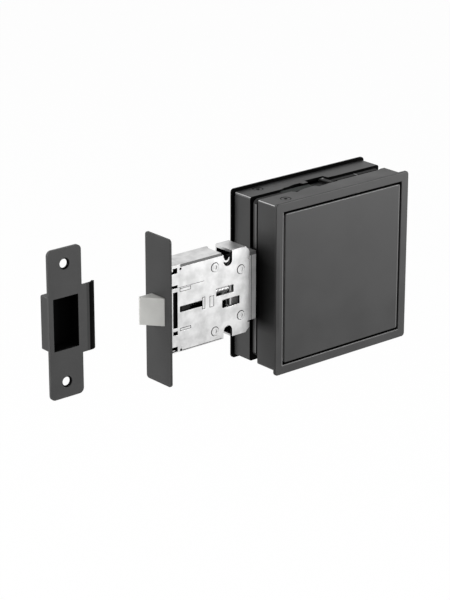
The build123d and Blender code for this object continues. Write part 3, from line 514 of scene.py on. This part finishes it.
# Small rounded edges on the rigid pieces
edge_rounds = {
    "faceplate": 0.15,
    "forend": 0.1,
    "latch_bolt": 0.2,
    "case_body": 0.12,
    "case_cover": 0.12,
    "case_rivets": 0.15,
    "front_shell": 0.25,
    "rear_shell": 0.25,
    "front_panel": 0.2,
    "rear_panel": 0.2,
    "strike_plate": 0.15,
    "dust_box": 0.2,
    "slide_guide": 0.2,
    "front_hinge_pins": 0.12,
    "rear_hinge_pins": 0.12,
    "tongue": 0.12,
}
weld_distance = 0.001
for name, width in edge_rounds.items():
    piece = nodes[name]
    joined = piece.modifiers.new("merged_corners", "WELD")
    joined.merge_threshold = weld_distance * MM
    rounded = piece.modifiers.new("small_edge_round", "BEVEL")
    rounded.width = width * MM
    rounded.segments = 2
    rounded.limit_method = "ANGLE"
    rounded.angle_limit = math.radians(40)
    rounded.harden_normals = True

# Springs wound from round wire
wire_corners = 12
steps_per_turn = 28


def wound_coil(name, mean_radius, wire, length, turns):
    """A coil of round wire that stands on the floor of its own frame, its ends closed."""
    bpy.ops.object.select_all(action="DESELECT")
    bpy.ops.mesh.primitive_circle_add(
        vertices=wire_corners,
        radius=wire / 2 * MM,
        location=(mean_radius * MM, 0, wire / 2 * MM),
        rotation=(math.pi / 2, 0, 0),
    )
    coil = bpy.context.object
    coil.name = name
    bpy.ops.object.transform_apply(location=True, rotation=True, scale=True)
    winding = coil.modifiers.new("winding", "SCREW")
    winding.angle = 2 * math.pi
    winding.iterations = turns
    winding.screw_offset = (length - wire) / turns * MM
    winding.steps = winding.render_steps = steps_per_turn
    bpy.ops.object.modifier_apply(modifier=winding.name)
    bpy.ops.object.mode_set(mode="EDIT")
    bpy.ops.mesh.select_all(action="SELECT")
    bpy.ops.mesh.fill_holes(sides=0)
    bpy.ops.mesh.normals_make_consistent(inside=False)
    bpy.ops.mesh.select_all(action="DESELECT")
    bpy.ops.object.mode_set(mode="OBJECT")
    return coil


def settle(piece, place, turn):
    """Turns a finished piece and puts it in its place."""
    bpy.ops.object.select_all(action="DESELECT")
    piece.select_set(True)
    bpy.context.view_layer.objects.active = piece
    piece.rotation_euler = turn
    piece.location = [value * MM for value in place]
    bpy.ops.object.transform_apply(location=True, rotation=True, scale=True)
    bpy.ops.object.shade_smooth_by_angle(angle=math.radians(50))


def extrude_selected(way):
    """Draws the faces selected in object mode out along a way, in metres."""
    bpy.ops.object.mode_set(mode="EDIT")
    bpy.ops.mesh.select_mode(type="FACE")
    bpy.ops.mesh.extrude_region_move(TRANSFORM_OT_translate={"value": way})
    bpy.ops.object.mode_set(mode="OBJECT")


def stands_for(piece, node):
    """Gives a piece the node's finish and joins it to the fixed parts in its stead."""
    piece.data.materials.append(node_finish[node])
    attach(piece, "fixed_parts")
    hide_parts(node)


# Compression springs along the case: node, joint, mean radius, wire, start, end, y, z, turns
case_coils = (
    ("slide_spring", "draw_slide_travel", 1.5, 0.8, 30.9, 43.8, -3.8, 3.6, 12),
    ("latch_spring", "latch_slide", 2.7, 0.8, 17.1, 27.9, 1.0, 0.0, 6),
)
for node, joint, mean_radius, wire, start, end, y, z, turns in case_coils:
    coil = wound_coil(f"{node}_coil", mean_radius, wire, end - start, turns)
    settle(coil, (start, y, z), (0, math.pi / 2, 0))
    stands_for(coil, node)
    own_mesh(coil)

# Torsion springs round the hinge pins, one above and one below, each with its leg
torsion_radius = 2.65
torsion_wire = 0.9
torsion_length = 3.7
torsion_turns = 3
leg_length = 7.0
torsion_floors = {"upper": 41.9, "lower": -45.6}
for side, hinge_y in (("front", front_hinge_y), ("rear", rear_hinge_y)):
    outward = -1 if side == "front" else 1
    pair = []
    for place, floor_z in torsion_floors.items():
        name = f"{side}_{place}_torsion_coil"
        coil = wound_coil(name, torsion_radius, torsion_wire, torsion_length, torsion_turns)
        ends = [face for face in coil.data.polygons if len(face.vertices) == wire_corners]
        ends.sort(key=lambda face: face.center.z)
        wanted = ends[0] if side == "front" else ends[-1]
        for face in coil.data.polygons:
            face.select = face.index == wanted.index
        extrude_selected((0, outward * leg_length * MM, 0))
        settle(coil, (hinge_x, hinge_y, floor_z), (0, 0, -outward * math.pi / 2))
        pair.append(coil)
    bpy.ops.object.select_all(action="DESELECT")
    for coil in pair:
        coil.select_set(True)
    bpy.context.view_layer.objects.active = pair[0]
    bpy.ops.object.join()
    pair[0].name = f"{side}_panel_torsion_coils"
    stands_for(pair[0], f"{side}_panel_springs")

# Stop block with its lug at the end away from the case
block_low, block_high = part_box("stop_block")
lug_height = 1.6 * MM
lug_length = 4.0 * MM
lug_start_x = block_high.x - lug_length
body_high = block_high - Vector((0, 0, lug_height))
bpy.ops.object.select_all(action="DESELECT")
bpy.ops.mesh.primitive_cube_add(
    size=1, location=(block_low + body_high) / 2, scale=body_high - block_low
)
block = bpy.context.object
block.name = "lugged_stop_block"
bpy.ops.object.transform_apply(location=True, rotation=True, scale=True)
bpy.ops.object.mode_set(mode="EDIT")
bpy.ops.mesh.select_all(action="SELECT")
bpy.ops.mesh.bisect(plane_co=(lug_start_x, 0, 0), plane_no=(1, 0, 0))
bpy.ops.mesh.select_all(action="DESELECT")
bpy.ops.object.mode_set(mode="OBJECT")
for face in block.data.polygons:
    face.select = face.normal.z > 0.9 and face.center.x > lug_start_x
extrude_selected((0, 0, lug_height))
rounding = block.modifiers.new("rounding", "BEVEL")
rounding.width = 0.6 * MM
rounding.segments = 4
rounding.limit_method = "ANGLE"
bpy.ops.object.modifier_apply(modifier=rounding.name)
bpy.ops.object.shade_smooth_by_angle(angle=math.radians(35))
stands_for(block, "stop_block")


def white_to_camera(tree):
    """1 for the rays of the camera, of mirrors and of glass, which see plain white."""
    path = tree.nodes.new("ShaderNodeLightPath")
    seen = path.outputs["Is Camera Ray"]
    for other in ("Is Glossy Ray", "Is Transmission Ray"):
        either = tree.nodes.new("ShaderNodeMath")
        either.operation = "MAXIMUM"
        tree.links.new(seen, either.inputs[0])
        tree.links.new(path.outputs[other], either.inputs[1])
        seen = either.outputs["Value"]
    return seen


# White room that lights the object less than it shows
room_light = 0.35
white = (1, 1, 1, 1)
world = bpy.data.worlds.new("studio_room")
bpy.context.scene.world = world
world.use_nodes = True
tree = world.node_tree
tree.nodes.clear()
shown = tree.nodes.new("ShaderNodeBackground")
shown.inputs["Color"].default_value = white
shown.inputs["Strength"].default_value = 1.0
lit = tree.nodes.new("ShaderNodeBackground")
lit.inputs["Color"].default_value = white
lit.inputs["Strength"].default_value = room_light
mix = tree.nodes.new("ShaderNodeMixShader")
out = tree.nodes.new("ShaderNodeOutputWorld")
tree.links.new(white_to_camera(tree), mix.inputs["Fac"])
tree.links.new(lit.outputs["Background"], mix.inputs[1])
tree.links.new(shown.outputs["Background"], mix.inputs[2])
tree.links.new(mix.outputs["Shader"], out.inputs["Surface"])

# Pale floor that keeps a little of the object's shadow
floor_drop = 0.16
floor_white_share = 0.97
bpy.ops.object.select_all(action="DESELECT")
bpy.ops.mesh.primitive_plane_add(size=8, location=(0, 0, low.z - floor_drop))
floor = bpy.context.object
floor.name = "pale_floor"
floor_paint = bpy.data.materials.new("pale_floor_paint")
floor_paint.use_nodes = True
tree = floor_paint.node_tree
diffuse = tree.nodes["Principled BSDF"]
diffuse.inputs["Base Color"].default_value = (0.92, 0.92, 0.92, 1)
diffuse.inputs["Roughness"].default_value = 0.9
glow = tree.nodes.new("ShaderNodeEmission")
glow.inputs["Strength"].default_value = 1.0
amount = tree.nodes.new("ShaderNodeMath")
amount.operation = "MULTIPLY"
amount.inputs[1].default_value = floor_white_share
mix = tree.nodes.new("ShaderNodeMixShader")
tree.links.new(white_to_camera(tree), amount.inputs[0])
tree.links.new(amount.outputs["Value"], mix.inputs["Fac"])
tree.links.new(diffuse.outputs["BSDF"], mix.inputs[1])
tree.links.new(glow.outputs["Emission"], mix.inputs[2])
tree.links.new(mix.outputs["Shader"], tree.nodes["Material Output"].inputs["Surface"])
floor.data.materials.append(floor_paint)
floor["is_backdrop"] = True


def softbox(name, place, aim, width, height, power):
    """A large soft lamp aimed at a point."""
    data = bpy.data.lights.new(name, "AREA")
    data.shape = "RECTANGLE"
    data.size, data.size_y, data.energy = width, height, power
    lamp = bpy.data.objects.new(name, data)
    bpy.context.scene.collection.objects.link(lamp)
    lamp.location = place
    lamp.rotation_euler = (Vector(aim) - Vector(place)).to_track_quat("-Z", "Y").to_euler()


pulls = (0.114, 0, 0)
softbox("left_softbox", (-1.1, 0.35, 0.3), pulls, width=0.5, height=0.5, power=12.8)
softbox("right_softbox", (0.62, -0.62, 0.12), pulls, width=0.35, height=0.5, power=6.3)
softbox("rear_softbox", (-0.35, 0.8, 0.75), pulls, width=0.3, height=0.3, power=3.6)

# Camera as fitted to the photograph
camera_data = bpy.data.cameras.new("photo_camera")
camera = bpy.data.objects.new("photo_camera", camera_data)
bpy.context.scene.collection.objects.link(camera)
camera.location = (-0.70737, -0.89303, 0.41826)
aim = Vector((0.045662, 0, -0.005256))
camera.rotation_euler = (aim - camera.location).to_track_quat("-Z", "Y").to_euler()
camera_data.sensor_fit = "AUTO"
camera_data.sensor_width = 36
camera_data.lens = 138.11
camera_data.clip_start = 0.05
camera_data.clip_end = 40
bpy.context.scene.camera = camera
bpy.context.scene.view_settings.view_transform = "Standard"

low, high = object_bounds()
